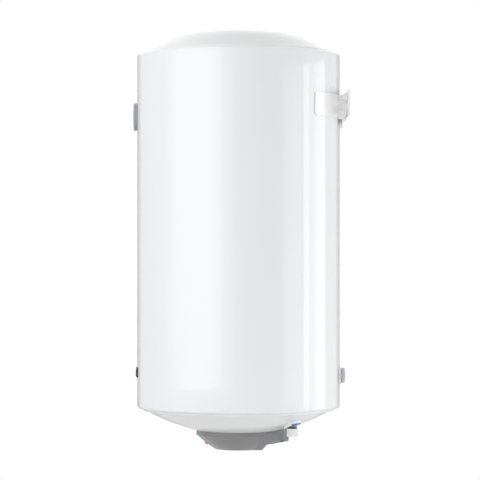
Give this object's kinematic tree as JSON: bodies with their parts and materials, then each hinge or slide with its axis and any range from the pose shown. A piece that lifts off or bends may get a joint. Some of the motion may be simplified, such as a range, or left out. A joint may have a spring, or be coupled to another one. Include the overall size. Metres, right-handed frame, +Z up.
{
  "type": "tank water heater",
  "caption": "Wall-hung upright electric storage water heater: white steel drum, domed caps, front dial thermometer, wall bracket, grey bottom cover and capped pipes.",
  "frame": {"origin": "centre of the two slots of the wall plate, on the wall plane that the plate's back lies on", "axes": "+Z up along the drum, +Y into the wall, +X to the right of someone who faces the wall; the thermometer faces -Y"},
  "size_m": [0.4499, 0.4756, 0.9233],
  "materials": {
    "white_enamel": "gloss white enamel",
    "cap_plastic": "satin light grey",
    "foam": "polyurethane foam",
    "tank_enamel": "vitreous enamel",
    "zinc_steel": "zinc plated",
    "gasket_rubber": "matte",
    "copper": "plain copper",
    "magnesium": "cast",
    "black_plastic": "satin",
    "red_plastic": "satin",
    "green_plastic": "satin",
    "ivory_plastic": "satin",
    "wire_cover": "satin",
    "thread_steel": "bare steel",
    "collar_white": "satin",
    "blue_plastic": "satin",
    "red_clip_plastic": "satin",
    "plug_white": "satin",
    "cover_grey": "satin grey",
    "lens_red": "clear red",
    "lamp_glass": "clear",
    "dial_grey": "satin silver grey",
    "dial_white": "matte",
    "pointer_red": "matte",
    "window_clear": "clear",
    "badge_black": "gloss",
    "badge_red": "gloss",
    "bracket_white": "gloss white",
    "spacer_grey": "satin"
  },
  "bodies": {
    "heater": {"outer_casing": "white_enamel", "top_cap": "cap_plastic", "bottom_cap": "cap_plastic", "insulation_foam": "foam", "tank_shell": "tank_enamel", "tank_top_head": "tank_enamel", "tank_bottom_head": "tank_enamel", "flange_neck": "tank_enamel", "flange_studs": "zinc_steel", "flange_gasket": "gasket_rubber", "flange_plate": "zinc_steel", "flange_nuts": "zinc_steel", "heating_element": "copper", "sensor_pocket": "zinc_steel", "anode_rod": "magnesium", "anode_nut": "zinc_steel", "thermostat_body": "black_plastic", "terminal_block": "ivory_plastic", "wiring_leads": "wire_cover", "cold_pipe": "thread_steel", "cold_diffuser": "ivory_plastic", "hot_pipe": "thread_steel", "cold_collar": "collar_white", "hot_collar": "collar_white", "cold_clip": "blue_plastic", "hot_clip": "red_clip_plastic", "bottom_cover": "cover_grey", "cover_screws": "zinc_steel", "pilot_lens": "lens_red", "pilot_lamp": "lamp_glass", "cable_grommet": "gasket_rubber", "thermometer_housing": "dial_grey", "thermometer_bezel": "dial_grey", "thermometer_dial": "dial_white", "thermometer_glass": "window_clear", "thermometer_probe": "copper", "badge_plate": "badge_black", "badge_inlay": "badge_red", "bracket_strap": "bracket_white", "bracket_hanger": "bracket_white", "wall_plate": "bracket_white", "spacer_base": "spacer_grey", "spacer_rivets": "zinc_steel"},
    "pointer": {"thermometer_pointer": "pointer_red"},
    "knob": {"thermostat_knob": "red_plastic"},
    "reset": {"reset_button": "green_plastic"},
    "spacer_end": {"spacer_pad": "spacer_grey"},
    "spacer_turner": {"spacer_screw": "spacer_grey"},
    "cold_plug": {"cold_transit_cap": "plug_white"},
    "hot_plug": {"hot_transit_cap": "plug_white"}
  },
  "joints": [
    {"name": "pointer_turn", "type": "hinge", "parent": "heater", "child": "pointer", "pos_m": [0, -0.472, -0.0249], "axis": [0, 1, 0], "range_deg": [0, 240]},
    {"name": "knob_turn", "type": "hinge", "parent": "heater", "child": "knob", "pos_m": [-0.008, -0.257, -0.7535], "axis": [0, 0, 1], "range_deg": [0, 270]},
    {"name": "reset_press", "type": "slide", "parent": "heater", "child": "reset", "axis": [0, 0, 1], "range_m": [0, 0.0025], "stiffness_N_per_m": 200},
    {"name": "spacer_slide", "type": "slide", "parent": "heater", "child": "spacer_end", "axis": [0, 1, 0], "range_m": [0, 0.012]},
    {"name": "spacer_turn", "type": "hinge", "parent": "spacer_end", "child": "spacer_turner", "pos_m": [0, -0.013, -0.6005], "axis": [0, 1, 0], "range_deg": [0, 1440]},
    {"name": "cold_plug_pull", "type": "slide", "parent": "heater", "child": "cold_plug", "axis": [0, 0, -1], "range_m": [0, 0.03]},
    {"name": "hot_plug_pull", "type": "slide", "parent": "heater", "child": "hot_plug", "axis": [0, 0, -1], "range_m": [0, 0.03]}
  ],
  "couplings": [
    {"joint": "spacer_slide", "follows": "spacer_turn", "m_per_rad": 0.00047746}
  ]
}
